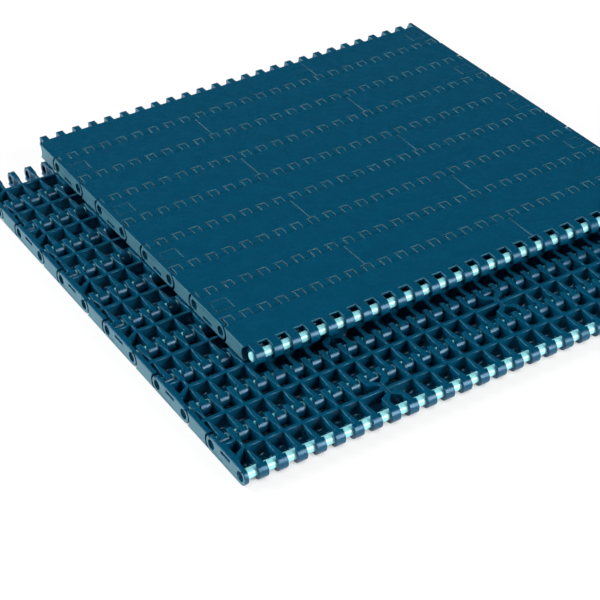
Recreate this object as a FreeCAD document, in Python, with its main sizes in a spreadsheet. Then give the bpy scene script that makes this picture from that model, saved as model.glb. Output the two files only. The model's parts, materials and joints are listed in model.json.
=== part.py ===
import FreeCAD, Part
import os
import Sketcher

# Two lengths of modular flat top conveyor chain.  The lower length lies with its flat face
# down and its ribs up; the upper length lies on it with its flat face up.  Each row is a
# short module and a long one, twice as wide, laid like bricks: the short one, with pin ears
# on its outer edge, is on the left in one row and on the right in the next.
# Axes of the part: X across the chain, Y along its travel, Z up; millimetres.

SIZES = [
    ("pitch", 25.4, "pin to pin along the chain"),
    ("thickness", 8.7, "flat face to the crest of the hinge loops"),
    ("loop_spacing", 10.0, "loop to loop across the chain"),
    ("short_loops", 8, "loops of a short module"),
    ("front_loop_width", 5.0, "wide loop at the front of a row"),
    ("rear_loop_width", 3.0, "narrow loop at the rear of a row"),
    ("side_clearance", 0.45, "between a lip and the loops beside it"),
    ("nose_reach", 1.0, "back of a front loop's full-width nose, before the pin axis"),
    ("nose_neck_width", 3.0, "neck of a front loop where it meets its nose"),
    ("neck_width", 2.4, "neck of a front loop where it meets its rib"),
    ("tongue_thickness", 1.6, "lip of the flat face over a rear loop"),
    ("tongue_reach", 2.8, "lip past the pin axis"),
    ("top_gap", 0.6, "gap in the flat face behind a lip"),
    ("pin_diameter", 5.0, "hinge pin"),
    ("pin_clearance", 0.08, "radial play of a pin in its bore"),
    ("pin_recess", 2.5, "pin end behind the outer face"),
    ("pin_slide", 0.9, "front pin of the upper length, pushed to the left"),
    ("pin_rounding", 0.6, "round on the pin ends"),
    ("hinge_clearance", 0.45, "loop to the walls of its slot"),
    ("plate_thickness", 2.2, "flat plate"),
    ("rib_thickness", 1.6, "rib along the travel"),
    ("cross_rib_thickness", 2.0, "rib across the travel"),
    ("rib_setdown", 0.45, "ribs lower than the loops"),
    ("flare_length", 4.0, "taper from loop to rib"),
    ("ear_clearance", 0.3, "ear to the first loop beside it"),
    ("flange_width", 3.4, "edge flange between the ears"),
    ("flange_setback", 5.6, "flange end to the pin axis"),
    ("brace_offset", 5.0, "foot of the slanted edge brace before the cross rib"),
    ("pocket_wall_thickness", 1.6, "wall behind the edge cell"),
    ("seam_gap", 0.2, "between the two modules of a row"),
    ("seam_wall_thickness", 1.3, "end wall of a module at the seam"),
    ("seam_wall_setback", 7.8, "end wall to the pin axis"),
    ("seam_rib_width", 2.4, "slanted rib where it meets the end wall"),
    ("slit_length", 8.0, "slit in the edge face"),
    ("slit_height", 1.5, "slit in the edge face"),
    ("slit_drop", 2.1, "slit centre under the pin axis"),
    ("insert_length", 9.4, "mould insert mark along the travel"),
    ("insert_width", 9.2, "mould insert mark across the travel"),
    ("insert_inset", 3.6, "mould insert mark behind the outer face"),
    ("insert_groove", 0.35, "groove round the mould insert mark"),
    ("insert_depth", 0.5, "depth of that groove"),
    ("lower_rows", 11, "rows of the lower length"),
    ("upper_rows", 9, "rows of the upper length"),
    ("setback", 60.3, "upper length behind the front of the lower"),
    ("side_shift", 40.0, "upper length to the right of the lower"),
    ("stack_gap", 0.3, "between the crests of the two lengths"),
]

doc = FreeCAD.newDocument("flat_top_chain")
sheet = doc.addObject("Spreadsheet::Sheet", "Sizes")
for line, (alias, size, meaning) in enumerate(SIZES, start=1):
    sheet.set(f"A{line}", alias)
    sheet.set(f"B{line}", str(size))
    sheet.set(f"C{line}", meaning)
    sheet.setAlias(f"B{line}", alias)
doc.recompute()

# Places worked out from the sheet, as expressions.  A module's own frame has its front pin
# on the X axis, its flat face up and the middle of the chain at X = 0.
HALF = "(Sizes.thickness / 2)"
CREST = f"(Sizes.rib_setdown - {HALF})"
SHORT = "(Sizes.loop_spacing * (Sizes.short_loops + 0.5))"
EDGE = f"(-1.5 * {SHORT})"
SHORT_SEAM = f"({EDGE} + {SHORT} - Sizes.seam_gap / 2)"
LONG_SEAM = f"({EDGE} + 2 * {SHORT} - Sizes.seam_gap / 2)"
MIDDLE = "(Sizes.pitch / 2)"
CROSS_FRONT = f"({MIDDLE} - Sizes.cross_rib_thickness / 2)"
CROSS_REAR = f"({MIDDLE} + Sizes.cross_rib_thickness / 2)"
SLOT_WALL = "(Sizes.tongue_reach + Sizes.top_gap)"
NECK = f"({HALF} + Sizes.hinge_clearance)"
PLATE_FLOOR = f"({HALF} - Sizes.plate_thickness)"
RIB_HEIGHT = f"({HALF} - Sizes.plate_thickness / 2 - {CREST})"
NOTCH = "(Sizes.loop_spacing / 2 - Sizes.front_loop_width / 2)"
EAR = f"({NOTCH} - Sizes.ear_clearance)"
TONGUE_WIDTH = "(Sizes.loop_spacing - Sizes.front_loop_width - 2 * Sizes.side_clearance)"
FLARE_END = f"({NECK} + Sizes.flare_length)"
LONG_LOOPS = "(2 * Sizes.short_loops + 1)"
FIRST_LONG_LOOP = f"({EDGE} + Sizes.loop_spacing / 2)"
FIRST_SHORT_LOOP = f"({EDGE} + Sizes.loop_spacing)"


def at(text):
    """Value of an expression on the sheet."""
    return float(sheet.evalExpression(text))


def sketch_on(body, name, role, offset="0"):
    """Sketch on one of the body's own planes, moved along the plane's normal."""
    sketch = body.newObject("Sketcher::SketchObject", name)
    plane = next(item for item in body.Origin.OriginFeatures if item.Role == role)
    sketch.AttachmentSupport = (plane, [""])
    sketch.MapMode = "FlatFace"
    sketch.setExpression("AttachmentOffset.Base.z", offset)
    return sketch


def tie(sketch, constraint, text):
    """Adds a dimension and binds it to the sheet."""
    number = sketch.addConstraint(constraint)
    sketch.setExpression(f"Constraints[{number}]", text)


def draw_outline(sketch, corners):
    """Closed outline of straight lines through corners given as expressions."""
    first = sketch.GeometryCount
    places = [FreeCAD.Vector(at(across), at(up), 0) for across, up in corners]
    for start, end in zip(places, places[1:] + places[:1]):
        sketch.addGeometry(Part.LineSegment(start, end))
    for step, (across, up) in enumerate(corners):
        side = first + step
        following = first + (step + 1) % len(corners)
        sketch.addConstraint(Sketcher.Constraint("Coincident", side, 2, following, 1))
        tie(sketch, Sketcher.Constraint("DistanceX", -1, 1, side, 1, at(across)), across)
        tie(sketch, Sketcher.Constraint("DistanceY", -1, 1, side, 1, at(up)), up)


def draw_box(sketch, left, front, right, rear):
    """Rectangle between two corners."""
    draw_outline(sketch, [(left, front), (right, front), (right, rear), (left, rear)])


def draw_circle(sketch, across, up, diameter):
    """Circle of a given diameter."""
    centre = FreeCAD.Vector(at(across), at(up), 0)
    ring = sketch.addGeometry(Part.Circle(centre, FreeCAD.Vector(0, 0, 1), at(diameter) / 2))
    tie(sketch, Sketcher.Constraint("DistanceX", -1, 1, ring, 3, at(across)), across)
    tie(sketch, Sketcher.Constraint("DistanceY", -1, 1, ring, 3, at(up)), up)
    tie(sketch, Sketcher.Constraint("Diameter", ring, at(diameter)), diameter)


def pad(body, name, sketch, length, both_ways=False):
    """Adds material along the sketch's normal."""
    feature = body.newObject("PartDesign::Pad", name)
    feature.Profile = sketch
    feature.SideType = "Symmetric" if both_ways else "One side"
    feature.setExpression("Length", length)
    body.Tip = feature
    return feature


def cut(body, name, sketch, length=None, forward=False):
    """Removes material: right through both ways, or to a depth."""
    feature = body.newObject("PartDesign::Pocket", name)
    feature.Profile = sketch
    if length is None:
        feature.Type = "ThroughAll"
        feature.SideType = "Symmetric"
    else:
        feature.Type = "Length"
        feature.Reversed = forward
        feature.setExpression("Length", length)
    body.Tip = feature
    return feature


def repeat_across(body, name, features, count):
    """Repeats features across the chain at the loop spacing."""
    pattern = body.newObject("PartDesign::LinearPattern", name)
    pattern.Originals = features
    axis = next(item for item in body.Origin.OriginFeatures if item.Role == "X_Axis")
    pattern.Direction = (axis, [""])
    pattern.Mode = "Spacing"
    pattern.setExpression("Offset", "Sizes.loop_spacing")
    pattern.setExpression("Occurrences", count)
    body.Tip = pattern
    return pattern


def plan_pad(body, name, boxes, floor, height):
    """Upright block over rectangles of the plan."""
    sketch = sketch_on(body, f"{name}_plan", "XY_Plane", floor)
    for box in boxes:
        draw_box(sketch, *box)
    return pad(body, name, sketch, height)


def side_pad(body, name, outline, middle, width):
    """Block with an outline seen from the edge, spread evenly about a place across."""
    sketch = sketch_on(body, f"{name}_outline", "YZ_Plane", middle)
    draw_outline(sketch, outline)
    return pad(body, name, sketch, width, both_ways=True)


def disc_pad(body, name, along, middle, width):
    """Round loop about a pin axis."""
    sketch = sketch_on(body, f"{name}_outline", "YZ_Plane", middle)
    draw_circle(sketch, along, "0", "Sizes.thickness")
    return pad(body, name, sketch, width, both_ways=True)


def cut_about_pins(body, name, diameter):
    """Cuts a round way about both pin axes, right across the module."""
    sketch = sketch_on(body, f"{name}_circles", "YZ_Plane")
    draw_circle(sketch, "0", "0", diameter)
    draw_circle(sketch, "Sizes.pitch", "0", diameter)
    return cut(body, name, sketch)


def cut_pin_bores(body):
    """Running bores for the two pins."""
    cut_about_pins(body, "pin_bores", "Sizes.pin_diameter + 2 * Sizes.pin_clearance")


def cut_hinge_relief(body):
    """Round relief in the plate and walls for the neighbours' loops."""
    cut_about_pins(body, "hinge_relief", "Sizes.thickness + 2 * Sizes.hinge_clearance")


def loop_features(body, middle):
    """Front loop and rear loop of a module, about one place across."""
    front_loop = disc_pad(body, "front_loop", "0", middle, "Sizes.front_loop_width")
    front_neck = side_pad(
        body,
        "front_neck",
        [("0", HALF), ("0", f"-{HALF}"), (NECK, CREST), (NECK, HALF)],
        middle,
        "Sizes.front_loop_width",
    )
    rear_loop = disc_pad(body, "rear_loop", "Sizes.pitch", middle, "Sizes.rear_loop_width")
    rear_neck = side_pad(
        body,
        "rear_neck",
        [
            (f"Sizes.pitch - {NECK}", HALF),
            (f"Sizes.pitch - {NECK}", CREST),
            ("Sizes.pitch", f"-{HALF}"),
            ("Sizes.pitch", HALF),
        ],
        middle,
        "Sizes.rear_loop_width",
    )
    tongue = plan_pad(
        body,
        "tongue",
        [
            (
                f"{middle} - {TONGUE_WIDTH} / 2",
                f"Sizes.pitch - {NECK}",
                f"{middle} + {TONGUE_WIDTH} / 2",
                "Sizes.pitch + Sizes.tongue_reach",
            )
        ],
        f"{HALF} - Sizes.tongue_thickness",
        "Sizes.tongue_thickness",
    )
    return [front_loop, front_neck, rear_loop, rear_neck, tongue]


def flank_cut(body, middle):
    """Cuts both flanks of a front loop behind its nose, under the pin axis, to bare the pin."""
    sketch = sketch_on(body, "flank_plan", "XY_Plane")
    for side in ("-", "+"):
        outer = f"{middle} {side} Sizes.front_loop_width / 2"
        outline = [
            (outer, "-Sizes.nose_reach"),
            (f"{middle} {side} Sizes.nose_neck_width / 2", "-Sizes.nose_reach"),
            (f"{middle} {side} Sizes.neck_width / 2", NECK),
            (outer, NECK),
        ]
        draw_outline(sketch, outline)
    return cut(body, "flanks", sketch, HALF)


def spine_feature(body, middle):
    """Rib along the travel that flares into its two loops."""
    sketch = sketch_on(body, "spine_plan", "XY_Plane", CREST)
    outline = [
        (f"{middle} - Sizes.neck_width / 2", NECK),
        (f"{middle} + Sizes.neck_width / 2", NECK),
        (f"{middle} + Sizes.rib_thickness / 2", FLARE_END),
        (f"{middle} + Sizes.rib_thickness / 2", f"Sizes.pitch - {FLARE_END}"),
        (f"{middle} + Sizes.rear_loop_width / 2", f"Sizes.pitch - {NECK}"),
        (f"{middle} - Sizes.rear_loop_width / 2", f"Sizes.pitch - {NECK}"),
        (f"{middle} - Sizes.rib_thickness / 2", f"Sizes.pitch - {FLARE_END}"),
        (f"{middle} - Sizes.rib_thickness / 2", FLARE_END),
    ]
    draw_outline(sketch, outline)
    return pad(body, "spine", sketch, RIB_HEIGHT)


def add_loops(body, first, count):
    """All loops of a module, with a spine on each but the last, which is braced to the seam."""
    repeat_across(body, "loop_row", loop_features(body, first), count)
    repeat_across(body, "flank_row", [flank_cut(body, first)], count)
    repeat_across(body, "spine_row", [spine_feature(body, first)], f"{count} - 1")


def make_long_module():
    """Long module at the left of its row, with a notched edge plate and no ears."""
    body = doc.addObject("PartDesign::Body", "long_module")
    plan_pad(
        body,
        "plate",
        [(EDGE, SLOT_WALL, LONG_SEAM, "Sizes.pitch")],
        PLATE_FLOOR,
        "Sizes.plate_thickness",
    )
    plan_pad(
        body,
        "edge_plate",
        [(EDGE, SLOT_WALL, f"{EDGE} + {NOTCH}", "Sizes.pitch")],
        f"-{HALF}",
        "Sizes.thickness",
    )
    plan_pad(
        body,
        "cross_rib",
        [(EDGE, CROSS_FRONT, LONG_SEAM, CROSS_REAR)],
        CREST,
        RIB_HEIGHT,
    )
    cut_hinge_relief(body)
    notch = sketch_on(body, "notch_circles", "YZ_Plane", EDGE)
    for along in ("0", "Sizes.pitch"):
        draw_circle(notch, along, "0", f"2 * sqrt({SLOT_WALL}^2 + {HALF}^2)")
    cut(body, "notch", notch, NOTCH, forward=True)
    add_seam_end(body, LONG_SEAM)
    add_loops(body, FIRST_LONG_LOOP, LONG_LOOPS)
    cut_pin_bores(body)
    return body


def add_edge(body):
    """Ear plate with its flange on the outer edge of a short module."""
    ear_middle = f"{EDGE} + {EAR} / 2"
    disc_pad(body, "front_ear", "0", ear_middle, EAR)
    disc_pad(body, "rear_ear", "Sizes.pitch", ear_middle, EAR)
    lip_floor = f"{HALF} - Sizes.tongue_thickness"
    side_pad(
        body,
        "ear_plate",
        [
            ("0", f"-{HALF}"),
            ("Sizes.pitch", f"-{HALF}"),
            ("Sizes.pitch", lip_floor),
            ("Sizes.pitch + Sizes.tongue_reach", lip_floor),
            ("Sizes.pitch + Sizes.tongue_reach", HALF),
            ("0", HALF),
        ],
        ear_middle,
        EAR,
    )
    plan_pad(
        body,
        "edge_flange",
        [
            (
                EDGE,
                "Sizes.flange_setback",
                f"{EDGE} + Sizes.flange_width",
                "Sizes.pitch - Sizes.flange_setback",
            )
        ],
        f"-{HALF}",
        "Sizes.thickness",
    )


def add_bent_cross_rib(body):
    """Cross rib that slants forward to the edge flange, and the wall behind the edge cell."""
    sketch = sketch_on(body, "cross_rib_plan", "XY_Plane", CREST)
    foot = f"{EDGE} + Sizes.flange_width / 2"
    outline = [
        (SHORT_SEAM, CROSS_FRONT),
        (SHORT_SEAM, CROSS_REAR),
        (FIRST_SHORT_LOOP, CROSS_REAR),
        (foot, f"{CROSS_REAR} - Sizes.brace_offset"),
        (foot, f"{CROSS_FRONT} - Sizes.brace_offset"),
        (FIRST_SHORT_LOOP, CROSS_FRONT),
    ]
    draw_outline(sketch, outline)
    pad(body, "cross_rib", sketch, RIB_HEIGHT)
    wall_rear = "Sizes.pitch - Sizes.flange_setback"
    plan_pad(
        body,
        "pocket_wall",
        [(foot, f"{wall_rear} - Sizes.pocket_wall_thickness", FIRST_SHORT_LOOP, wall_rear)],
        CREST,
        RIB_HEIGHT,
    )


def add_seam_end(body, seam):
    """End wall at the seam, with the last loops braced to it by slanted ribs."""
    last_loop = f"({seam} + Sizes.seam_gap / 2 - Sizes.loop_spacing / 2)"
    plan_pad(
        body,
        "seam_wall",
        [
            (
                f"{seam} - Sizes.seam_wall_thickness",
                "Sizes.seam_wall_setback",
                seam,
                "Sizes.pitch - Sizes.seam_wall_setback",
            )
        ],
        CREST,
        RIB_HEIGHT,
    )
    ends = (
        ("front", "", "Sizes.neck_width"),
        ("rear", "Sizes.pitch - ", "Sizes.rear_loop_width"),
    )
    for name, base, width in ends:
        sketch = sketch_on(body, f"{name}_seam_rib_plan", "XY_Plane", CREST)
        outline = [
            (f"{last_loop} - {width} / 2", f"{base}{NECK}"),
            (f"{last_loop} + {width} / 2", f"{base}{NECK}"),
            (seam, f"{base}Sizes.seam_wall_setback"),
            (seam, f"{base}(Sizes.seam_wall_setback + Sizes.seam_rib_width)"),
            (
                f"{last_loop} - Sizes.rib_thickness / 2",
                f"{base}({NECK} + Sizes.seam_rib_width)",
            ),
        ]
        draw_outline(sketch, outline)
        pad(body, f"{name}_seam_rib", sketch, RIB_HEIGHT)


def cut_edge_marks(body):
    """Slit in the edge face, and the fine groove round the mould insert in the flat face."""
    slit = sketch_on(body, "slit_outline", "YZ_Plane", EDGE)
    draw_box(
        slit,
        f"{MIDDLE} - Sizes.slit_length / 2",
        "-Sizes.slit_drop - Sizes.slit_height / 2",
        f"{MIDDLE} + Sizes.slit_length / 2",
        "-Sizes.slit_drop + Sizes.slit_height / 2",
    )
    cut(body, "slit", slit, "Sizes.flange_width", forward=True)
    groove = sketch_on(body, "insert_groove_plan", "XY_Plane", HALF)
    for inset in ("0", "Sizes.insert_groove"):
        draw_box(
            groove,
            f"{EDGE} + Sizes.insert_inset + {inset}",
            f"{MIDDLE} - Sizes.insert_length / 2 + {inset}",
            f"{EDGE} + Sizes.insert_inset + Sizes.insert_width - {inset}",
            f"{MIDDLE} + Sizes.insert_length / 2 - {inset}",
        )
    cut(body, "insert_groove", groove, "Sizes.insert_depth")


def make_short_module():
    """Short module at the left of its row, with ears on its outer edge."""
    body = doc.addObject("PartDesign::Body", "short_module")
    plan_pad(
        body,
        "plate",
        [(EDGE, SLOT_WALL, SHORT_SEAM, "Sizes.pitch")],
        PLATE_FLOOR,
        "Sizes.plate_thickness",
    )
    add_bent_cross_rib(body)
    cut_hinge_relief(body)
    add_edge(body)
    add_seam_end(body, SHORT_SEAM)
    add_loops(body, FIRST_SHORT_LOOP, "Sizes.short_loops")
    cut_pin_bores(body)
    cut_edge_marks(body)
    return body


def make_pin():
    """Hinge pin across the chain, with rounded ends."""
    body = doc.addObject("PartDesign::Body", "hinge_pin")
    sketch = sketch_on(body, "pin_outline", "YZ_Plane")
    draw_circle(sketch, "0", "0", "Sizes.pin_diameter")
    length = f"3 * {SHORT} - 2 * Sizes.pin_recess"
    shaft = pad(body, "shaft", sketch, length, both_ways=True)
    doc.recompute()
    rounds = body.newObject("PartDesign::Fillet", "end_rounds")
    rims = [
        f"Edge{number}"
        for number, edge in enumerate(shaft.Shape.Edges, start=1)
        if isinstance(edge.Curve, Part.Circle)
    ]
    rounds.Base = (shaft, rims)
    rounds.setExpression("Radius", "Sizes.pin_rounding")
    body.Tip = rounds
    return body


def make_mirror(source, name):
    """Right-hand copy of a left-hand piece, across the middle of the chain."""
    mirror = doc.addObject("Part::Mirroring", name)
    mirror.Source = source
    mirror.Base = FreeCAD.Vector(0, 0, 0)
    mirror.Normal = FreeCAD.Vector(1, 0, 0)
    return mirror


pieces = []


def place(label, master, across, along, height, face_down):
    """A named piece of the chain: a linked copy of a master, set in the part's frame."""
    piece = doc.addObject("App::Link", label)
    piece.LinkedObject = master
    piece.Label = label
    turn = 180 if face_down else 0
    piece.Placement.Rotation = FreeCAD.Rotation(FreeCAD.Vector(0, 1, 0), turn)
    piece.setExpression("Placement.Base.x", across)
    piece.setExpression("Placement.Base.y", along)
    piece.setExpression("Placement.Base.z", height)
    pieces.append(piece)


short_module = make_short_module()
long_module = make_long_module()
hinge_pin = make_pin()
other_short_module = make_mirror(short_module, "other_short_module")
other_long_module = make_mirror(long_module, "other_long_module")


def lay_length(name, rows, short_first, across, front, height, face_down, first_pin_slide):
    """One length of chain, row by row from its front, with a pin at the front of each row."""
    left_short, left_long = short_module, long_module
    right_short, right_long = other_short_module, other_long_module
    if face_down:
        left_short, right_short = right_short, left_short
        left_long, right_long = right_long, left_long
    for row in range(1, rows + 1):
        spot = (f"{front} + {row - 1} * Sizes.pitch", height, face_down)
        short_on_left = (row % 2 == 1) == short_first
        left, right = (left_short, right_long) if short_on_left else (left_long, right_short)
        place(f"{name}_row_{row}_left_module", left, across, *spot)
        place(f"{name}_row_{row}_right_module", right, across, *spot)
        slide = first_pin_slide if row == 1 else "0"
        place(f"{name}_pin_{row}", hinge_pin, f"{across} - {slide}", *spot)


# The origin is on the floor under the middle of the two lengths' box.
LOWER_REACH = "Sizes.lower_rows * Sizes.pitch"
UPPER_REACH = "Sizes.setback + Sizes.upper_rows * Sizes.pitch"
LOWER_FRONT = f"(-max({LOWER_REACH}; {UPPER_REACH}) / 2)"
lay_length(
    "lower",
    rows=int(at("Sizes.lower_rows")),
    short_first=True,
    across="-Sizes.side_shift / 2",
    front=LOWER_FRONT,
    height=HALF,
    face_down=True,
    first_pin_slide="0",
)
lay_length(
    "upper",
    rows=int(at("Sizes.upper_rows")),
    short_first=False,
    across="Sizes.side_shift / 2",
    front=f"({LOWER_FRONT} + Sizes.setback)",
    height=f"3 * {HALF} + Sizes.stack_gap",
    face_down=False,
    first_pin_slide="Sizes.pin_slide",
)
doc.recompute()

for item in doc.Objects:
    if "Invalid" in item.State or "Error" in item.State:
        raise RuntimeError(f"{item.Label} failed: {item.State}")

os.makedirs("parts", exist_ok=True)
for piece in pieces:
    shape = Part.getShape(piece)
    if shape.isNull() or not shape.isValid() or len(shape.Solids) != 1:
        raise RuntimeError(f"{piece.Label} is not one valid solid")
    shape.exportStep(f"parts/{piece.Label}.step")
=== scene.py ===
import json
import math

import bmesh
import bpy
from mathutils import Matrix, Vector


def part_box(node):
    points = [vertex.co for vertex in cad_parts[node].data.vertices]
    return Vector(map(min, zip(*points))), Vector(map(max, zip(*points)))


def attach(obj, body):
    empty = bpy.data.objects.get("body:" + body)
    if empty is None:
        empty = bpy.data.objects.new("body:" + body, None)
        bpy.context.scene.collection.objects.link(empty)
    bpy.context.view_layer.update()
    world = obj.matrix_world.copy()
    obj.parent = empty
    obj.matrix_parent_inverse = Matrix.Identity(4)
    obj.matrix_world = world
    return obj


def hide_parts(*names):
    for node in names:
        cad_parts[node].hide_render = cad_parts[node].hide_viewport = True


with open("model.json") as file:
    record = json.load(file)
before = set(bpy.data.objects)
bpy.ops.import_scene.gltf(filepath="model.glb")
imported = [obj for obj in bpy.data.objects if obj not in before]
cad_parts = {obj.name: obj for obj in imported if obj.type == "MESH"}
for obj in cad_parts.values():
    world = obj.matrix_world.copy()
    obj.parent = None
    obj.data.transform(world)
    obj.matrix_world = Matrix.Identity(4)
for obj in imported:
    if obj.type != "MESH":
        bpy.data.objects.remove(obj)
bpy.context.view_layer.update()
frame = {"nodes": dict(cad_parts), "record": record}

MM = 0.001
DEGREE = math.pi / 180

# The range of a noise in which a finish changes.
NOISE_LOW = 0.3
NOISE_HIGH = 0.7

# How close over the floor a thing shades it, the openness of full and of no shade, and the open floor's glow.
SHADE_REACH = 12 * MM
SHADE_SAMPLES = 8
FULL_SHADE = 0.08
NO_SHADE = 0.4
OPEN_GLOW = 0.8


def srgb(text):
    """Linear colour of an sRGB hex value."""
    parts = [int(text[step:step + 2], 16) / 255 for step in (1, 3, 5)]
    linear = [part / 12.92 if part <= 0.04045 else ((part + 0.055) / 1.055) ** 2.4 for part in parts]
    return (*linear, 1.0)


def add_node(tree, kind, settings=None, inputs=None):
    """Adds a node; inputs go by name or place, each a plain value or another node's output."""
    node = tree.nodes.new(kind)
    for name, value in (settings or {}).items():
        setattr(node, name, value)
    for name, value in (inputs or {}).items():
        if isinstance(value, bpy.types.NodeSocket):
            tree.links.new(value, node.inputs[name])
        else:
            node.inputs[name].default_value = value
    return node


def new_material(name):
    """Empty node material with its tree and its output."""
    material = bpy.data.materials.new(name)
    material.use_nodes = True
    tree = material.node_tree
    tree.nodes.clear()
    return material, tree, add_node(tree, "ShaderNodeOutputMaterial")


def two_tones(tree, noise, first_tone, last_tone):
    """Colour that a noise takes from one tone to another."""
    ramp = add_node(tree, "ShaderNodeValToRGB", inputs={"Fac": noise.outputs["Fac"]})
    first, last = ramp.color_ramp.elements
    first.position = NOISE_LOW
    first.color = srgb(first_tone)
    last.position = NOISE_HIGH
    last.color = srgb(last_tone)
    return ramp.outputs["Color"]


def value_range(tree, noise, least, most):
    """Value that a noise takes from one limit to another."""
    span = add_node(tree, "ShaderNodeMapRange", inputs={
        "Value": noise.outputs["Fac"], "From Min": NOISE_LOW, "From Max": NOISE_HIGH,
        "To Min": least, "To Max": most})
    return span.outputs["Result"]


def moulded_acetal():
    """Acetal, injection moulded: smooth, faintly satin, with soft cloudy flow in its dark teal."""
    material, tree, output = new_material("moulded_acetal_teal")
    place = add_node(tree, "ShaderNodeTexCoord").outputs["Object"]
    flow_width = 9 * MM
    flow = add_node(tree, "ShaderNodeTexNoise", inputs={
        "Vector": place, "Scale": 1 / flow_width, "Detail": 3.0, "Roughness": 0.5})
    sheen_patch = 4 * MM
    patches = add_node(tree, "ShaderNodeTexNoise", inputs={
        "Vector": place, "Scale": 1 / sheen_patch, "Detail": 2.0})
    spark_grain = 0.35 * MM
    grain_depth = 0.05 * MM
    grain = add_node(tree, "ShaderNodeTexNoise", inputs={
        "Vector": place, "Scale": 1 / spark_grain, "Detail": 2.0})
    skin = add_node(tree, "ShaderNodeBump", inputs={
        "Strength": 0.06, "Distance": grain_depth, "Height": grain.outputs["Fac"]})
    surface = add_node(tree, "ShaderNodeBsdfPrincipled", inputs={
        "Base Color": two_tones(tree, flow, "#00405A", "#004560"),
        "Roughness": value_range(tree, patches, 0.24, 0.30),
        "IOR": 1.55, "Specular Tint": srgb("#B4DEFF"), "Normal": skin.outputs["Normal"]})
    tree.links.new(surface.outputs["BSDF"], output.inputs["Surface"])
    return material


def painted_highlight_acetal():
    """The same acetal, matt, cloudy and paler: a painted highlight for the flat face's rounded lips and a
    painted sheen for the module's outer ends.
    """
    material, tree, output = new_material("painted_highlight_acetal_grey_teal")
    place = add_node(tree, "ShaderNodeTexCoord").outputs["Object"]
    streak_length = 6 * MM
    streak_width = 1.2 * MM
    along_travel = add_node(tree, "ShaderNodeMapping", inputs={
        "Vector": place, "Scale": (1 / streak_width, 1 / streak_length, 1 / streak_width)})
    highlight_streaks = add_node(tree, "ShaderNodeTexNoise", inputs={
        "Vector": along_travel.outputs["Vector"], "Scale": 1.0, "Detail": 3.0})
    # Painted highlight and sheen: pale grey teal tones in place of the light that the lips and outer ends
    # catch.
    surface = add_node(tree, "ShaderNodeBsdfPrincipled", inputs={
        "Base Color": two_tones(tree, highlight_streaks, "#36606E", "#406C7A"),
        "Roughness": value_range(tree, highlight_streaks, 0.46, 0.56), "IOR": 1.48})
    tree.links.new(surface.outputs["BSDF"], output.inputs["Surface"])
    return material


def drawn_rod():
    """Polymer rod, extruded: pale turquoise, glossy, with fine draw lines along its length."""
    material, tree, output = new_material("extruded_rod_turquoise")
    place = add_node(tree, "ShaderNodeTexCoord").outputs["Object"]
    line_width = 0.5 * MM
    line_length = 60 * MM
    line_depth = 0.05 * MM
    stretched = add_node(tree, "ShaderNodeMapping", inputs={
        "Vector": place, "Scale": (1 / line_length, 1 / line_width, 1 / line_width)})
    lines = add_node(tree, "ShaderNodeTexNoise", inputs={
        "Vector": stretched.outputs["Vector"], "Scale": 1.0, "Detail": 2.0})
    ridge = add_node(tree, "ShaderNodeBump", inputs={
        "Strength": 0.08, "Distance": line_depth, "Height": lines.outputs["Fac"]})
    glow_depth = 1.5 * MM
    surface = add_node(tree, "ShaderNodeBsdfPrincipled", inputs={
        "Base Color": two_tones(tree, lines, "#8CDAE1", "#A2E4E9"),
        "Roughness": 0.33, "IOR": 1.57, "Specular IOR Level": 1.0,
        "Subsurface Weight": 0.4, "Subsurface Radius": (0.7, 1.0, 1.0), "Subsurface Scale": glow_depth,
        "Normal": ridge.outputs["Normal"]})
    tree.links.new(surface.outputs["BSDF"], output.inputs["Surface"])
    return material


def white_paper():
    """Paper, matt white; where it is seen, it also glows, except close under the part."""
    material, tree, output = new_material("white_paper")
    matte = add_node(tree, "ShaderNodeBsdfDiffuse", inputs={"Color": srgb("#FCFCFC")})
    glow = add_node(tree, "ShaderNodeEmission", inputs={"Color": (1, 1, 1, 1), "Strength": 1.0})
    ray = add_node(tree, "ShaderNodeLightPath")
    seen = add_node(tree, "ShaderNodeMath", {"operation": "ADD"}, {
        0: ray.outputs["Is Camera Ray"], 1: ray.outputs["Is Glossy Ray"]})
    seen_or_through = add_node(tree, "ShaderNodeMath", {"operation": "ADD", "use_clamp": True}, {
        0: seen.outputs[0], 1: ray.outputs["Is Transmission Ray"]})
    open_sky = add_node(tree, "ShaderNodeAmbientOcclusion", {"samples": SHADE_SAMPLES}, {
        "Distance": SHADE_REACH})
    open_share = add_node(tree, "ShaderNodeMapRange", inputs={
        "Value": open_sky.outputs["AO"], "From Min": FULL_SHADE, "From Max": NO_SHADE,
        "To Min": 0.0, "To Max": OPEN_GLOW})
    glow_share = add_node(tree, "ShaderNodeMath", {"operation": "MULTIPLY"}, {
        0: seen_or_through.outputs[0], 1: open_share.outputs["Result"]})
    mix = add_node(tree, "ShaderNodeMixShader", inputs={
        0: glow_share.outputs[0], 1: matte.outputs["BSDF"], 2: glow.outputs["Emission"]})
    tree.links.new(mix.outputs["Shader"], output.inputs["Surface"])
    return material


ACETAL = moulded_acetal()
# The paler acetal paints a highlight on the flat face's lips and a sheen on the outer ends.
PAINTED_HIGHLIGHT = painted_highlight_acetal()
ROD = drawn_rod()
ACETAL_SLOT = 0
PAINTED_HIGHLIGHT_SLOT = 1

# How far an edge is rounded, by where it lies.
CREST_ROUND = 0.5 * MM
EDGE_ROUND = 0.2 * MM
FLAT_LIP_ROUND = 0.3 * MM
REAR_LIP_ROUND = 0.1 * MM
SEAM_ROUND = 0.36 * MM
MARK_ROUND = 0.04 * MM
ROUND_STEPS = 2

# Distances from the seam, the row's middle, the outer end and the flat face that tell where a thing lies.
SEAM_DEPTH = 0.5 * MM
MARK_BAND = 5 * MM
MARK_INNER_SIDE = 10 * MM
END_DEPTH = 2.5 * MM
LIP_DEPTH = 0.5 * MM

# Shares of the rise from the flat face to the crests, and shares of a normal along an axis.
CREST_SHARE = 0.85
FLAT_SHARE = 0.02
LEVEL = 0.995
FACES_REAR = 0.5

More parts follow.
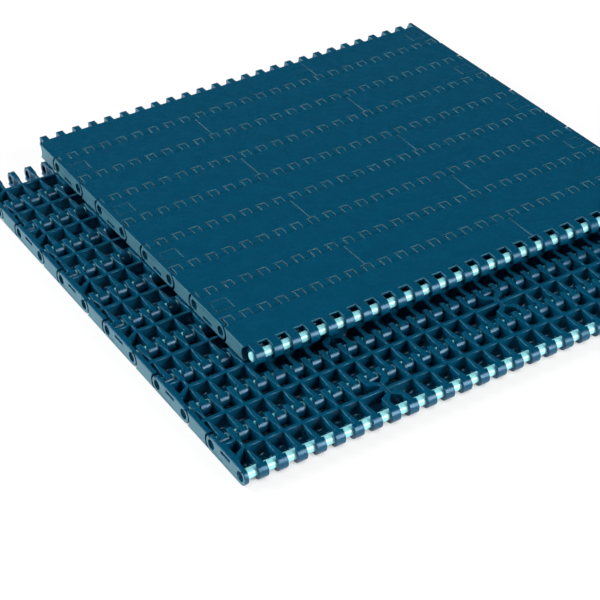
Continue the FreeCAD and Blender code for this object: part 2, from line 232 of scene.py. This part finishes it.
MERGE_DISTANCE = 0.001 * MM
FLAT_WITHIN = 0.5 * DEGREE
SHARP_EDGE = 32 * DEGREE
KNIFE_EDGE = 130 * DEGREE
SMOOTH_UNDER = 48 * DEGREE


def only(piece):
    """Selects one piece and makes it active."""
    bpy.ops.object.select_all(action="DESELECT")
    piece.select_set(True)
    bpy.context.view_layer.objects.active = piece


def apply_modifier(piece, modifier):
    """Makes a modifier part of the piece's own mesh."""
    only(piece)
    bpy.ops.object.modifier_apply(modifier=modifier.name)


def flat_lip_round(edge, row_middle, outer_end, seam_end):
    """Rounding of an edge of the flat face, by its place: at the seam, round the insert mark, or at a lip."""
    facing = sum((face.normal for face in edge.link_faces), Vector()).normalized()
    if all(abs(vert.co.x - seam_end) < SEAM_DEPTH for vert in edge.verts):
        return SEAM_ROUND if facing.x < 0 else MARK_ROUND
    if all(abs(vert.co.y - row_middle) < MARK_BAND for vert in edge.verts):
        inner = all(abs(vert.co.x - outer_end) > MARK_INNER_SIDE for vert in edge.verts)
        return EDGE_ROUND if inner else MARK_ROUND
    return REAR_LIP_ROUND if facing.y > FACES_REAR else FLAT_LIP_ROUND


def edge_round(edge, flat_height, crest_height, *plan):
    """Rounding of a sharp edge: most along the rib crests, and its own at the flat face."""
    if max(abs(face.normal.z) for face in edge.link_faces) < LEVEL:
        return EDGE_ROUND
    rises = [(vert.co.z - flat_height) / (crest_height - flat_height) for vert in edge.verts]
    if min(rises) > CREST_SHARE:
        return CREST_ROUND
    if max(rises) < FLAT_SHARE:
        return flat_lip_round(edge, *plan)
    return EDGE_ROUND


def weigh_outer_edges(mesh, *place):
    """Gives every sharp edge that stands out its rounding, as a share of the crests'."""
    shell = bmesh.new()
    shell.from_mesh(mesh)
    weight = shell.edges.layers.float.new("bevel_weight_edge")
    for edge in shell.edges:
        if edge.is_manifold and SHARP_EDGE < edge.calc_face_angle_signed() < KNIFE_EDGE:
            edge[weight] = edge_round(edge, *place) / CREST_ROUND
    shell.to_mesh(mesh)
    shell.free()


def keep_inside(mesh, low, high):
    """Brings corners that rounding pushes out of the solid's box back to it."""
    for vert in mesh.vertices:
        vert.co = [min(max(place, least), most) for place, least, most in zip(vert.co, low, high)]


def paint_highlight_on_lips_and_ends(mesh, flat_height, outer_end):
    """Leaves the painted highlight on the flat face's rounded lips and gives a painted sheen to the module's
    outer end.
    """
    for face in mesh.polygons:
        on_lip = face.material_index == PAINTED_HIGHLIGHT_SLOT and abs(face.center.z - flat_height) < LIP_DEPTH
        on_end = abs(face.normal.x) > LEVEL and abs(face.center.x - outer_end) < END_DEPTH
        face.material_index = PAINTED_HIGHLIGHT_SLOT if on_lip or on_end else ACETAL_SLOT


def round_edges(piece, *place):
    """Merges a moulding's loose faces and rounds its outer edges, as a mould does."""
    only(piece)
    bpy.ops.object.mode_set(mode="EDIT")
    bpy.ops.mesh.select_all(action="SELECT")
    bpy.ops.mesh.remove_doubles(threshold=MERGE_DISTANCE)
    bpy.ops.mesh.beautify_fill(angle_limit=FLAT_WITHIN)
    bpy.ops.object.mode_set(mode="OBJECT")
    weigh_outer_edges(piece.data, *place)
    rounding = piece.modifiers.new("edge_round", "BEVEL")
    rounding.width = CREST_ROUND
    rounding.segments = ROUND_STEPS
    rounding.limit_method = "WEIGHT"
    rounding.use_clamp_overlap = False
    # The rounded strips first all take the paler acetal, a painted highlight.
    rounding.material = PAINTED_HIGHLIGHT_SLOT
    apply_modifier(piece, rounding)
    bpy.ops.object.shade_smooth_by_angle(angle=SMOOTH_UNDER)
    flats = piece.modifiers.new("flat_faces", "WEIGHTED_NORMAL")
    flats.keep_sharp = True
    apply_modifier(piece, flats)


masters = {}


def moulded_piece(node_name, body):
    """A moulding in place of its sharp-edged solid: rounded once, then copied from row to row."""
    node = frame["nodes"][node_name]
    low, high = (Vector(corner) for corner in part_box(node_name))
    length, _, _, kind = node_name.split("_", 3)
    shape = (length, kind, round((high.x - low.x) / MM))
    master, master_low = masters.get(shape, (node.data, low))
    mesh = master.copy()
    mesh.transform(Matrix.Translation(low - master_low))
    piece = bpy.data.objects.new(f"rounded_{node_name}", mesh)
    bpy.context.scene.collection.objects.link(piece)
    if shape not in masters:
        flat_height, crest_height = (low.z, high.z) if length == "lower" else (high.z, low.z)
        outer_end, seam_end = (low.x, high.x) if kind == "left_module" else (high.x, low.x)
        mesh.materials.clear()
        mesh.materials.append(ACETAL)
        # Second slot: the paler acetal of painted highlight and sheen.
        mesh.materials.append(PAINTED_HIGHLIGHT)
        round_edges(piece, flat_height, crest_height, (low.y + high.y) / 2, outer_end, seam_end)
        keep_inside(mesh, low, high)
        # Painted highlight stays on the flat face's lips; the outer end gets a painted sheen.
        paint_highlight_on_lips_and_ends(mesh, flat_height, outer_end)
        masters[shape] = (mesh, low)
    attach(piece, body)
    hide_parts(node_name)


def drawn_pin(node_name):
    """The rod's own solid, with its finish."""
    mesh = frame["nodes"][node_name].data
    mesh.materials.clear()
    mesh.materials.append(ROD)


for body, node_names in frame["record"]["behaviour"]["bodies"].items():
    for node_name in node_names:
        if "_pin_" in node_name:
            drawn_pin(node_name)
        else:
            moulded_piece(node_name, body)


FLOOR_SIZE = 12.0
FLOOR_DROP = 0.05 * MM
bpy.ops.object.select_all(action="DESELECT")
bpy.ops.mesh.primitive_plane_add(size=FLOOR_SIZE, location=(0, 0, -FLOOR_DROP))
floor = bpy.context.object
floor.name = "paper_floor"
floor.data.materials.append(white_paper())

# White round the horizon, and a dark ceiling over it.
WHITE_UP_TO = 0.08
DARK_FROM = 0.22
CEILING_SHADE = 0.02
world = bpy.data.worlds.new("studio")
bpy.context.scene.world = world
world.use_nodes = True
sky = world.node_tree
direction = add_node(sky, "ShaderNodeTexCoord").outputs["Generated"]
height = add_node(sky, "ShaderNodeSeparateXYZ", inputs={"Vector": direction}).outputs["Z"]
wall = add_node(sky, "ShaderNodeMapRange", inputs={
    "Value": height, "From Min": WHITE_UP_TO, "From Max": DARK_FROM, "To Min": 1.0, "To Max": CEILING_SHADE})
backdrop = sky.nodes["Background"]
sky.links.new(wall.outputs["Result"], backdrop.inputs["Color"])
backdrop.inputs["Strength"].default_value = 1.0


LIGHT_DISTANCE = 4.0


def soft_box(name, toward, width, height, power, mirrored=True):
    """Rectangular studio light in a direction from the part, aimed at its middle; a fill isn't mirrored."""
    lamp = bpy.data.lights.new(name, "AREA")
    lamp.shape = "RECTANGLE"
    lamp.size = width
    lamp.size_y = height
    lamp.energy = power
    holder = bpy.data.objects.new(name, lamp)
    bpy.context.scene.collection.objects.link(holder)
    holder.location = Vector(toward).normalized() * LIGHT_DISTANCE
    holder.rotation_mode = "QUATERNION"
    holder.rotation_quaternion = (-holder.location).to_track_quat("-Z", "Y")
    holder.visible_glossy = mirrored


soft_box("front_strip", (0.42, -0.83, 0.36), width=1.0, height=2.6, power=110.0)
soft_box("rear_left_strip", (-0.29, 0.69, 0.66), width=1.0, height=1.0, power=45.0)
soft_box("overhead", (-0.20, 0.15, 0.96), width=0.9, height=0.9, power=25.0)
soft_box("front_fill", (0.58, -0.76, 0.27), width=3.0, height=2.4, power=100.0, mirrored=False)
soft_box("rear_fill", (-0.50, 0.69, 0.52), width=2.0, height=1.6, power=90.0, mirrored=False)
soft_box("left_fill", (-0.88, 0.42, 0.22), width=3.0, height=1.4, power=150.0, mirrored=False)

# The camera stands off the front left corner of the lower length.
CAMERA_FROM_CORNER = Vector((-0.2761, -0.4981, 0.5108))
CAMERA_AZIMUTH = 31.53 * DEGREE
CAMERA_DROP = 35.76 * DEGREE
CAMERA_ROLL = -0.98 * DEGREE
CAMERA_NEAR = 0.01
FOCAL_PIXELS = 1750
IMAGE_PIXELS = 600
SENSOR_WIDTH = 36.0
camera = bpy.data.objects.new("photo_camera", bpy.data.cameras.new("photo_camera"))
bpy.context.scene.collection.objects.link(camera)
camera.data.sensor_width = SENSOR_WIDTH
camera.data.lens = FOCAL_PIXELS / IMAGE_PIXELS * SENSOR_WIDTH
camera.data.clip_start = CAMERA_NEAR
forward = Vector((
    math.sin(CAMERA_AZIMUTH) * math.cos(CAMERA_DROP),
    math.cos(CAMERA_AZIMUTH) * math.cos(CAMERA_DROP),
    -math.sin(CAMERA_DROP),
))
camera.rotation_mode = "QUATERNION"
camera.location = Vector(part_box("lower_row_1_left_module")[0]) + CAMERA_FROM_CORNER
aim = forward.to_track_quat("-Z", "Y").to_matrix()
roll = Matrix.Rotation(CAMERA_ROLL, 3, "Z")
camera.rotation_quaternion = (aim @ roll).to_quaternion()
bpy.context.scene.camera = camera
bpy.context.scene.view_settings.view_transform = "Standard"
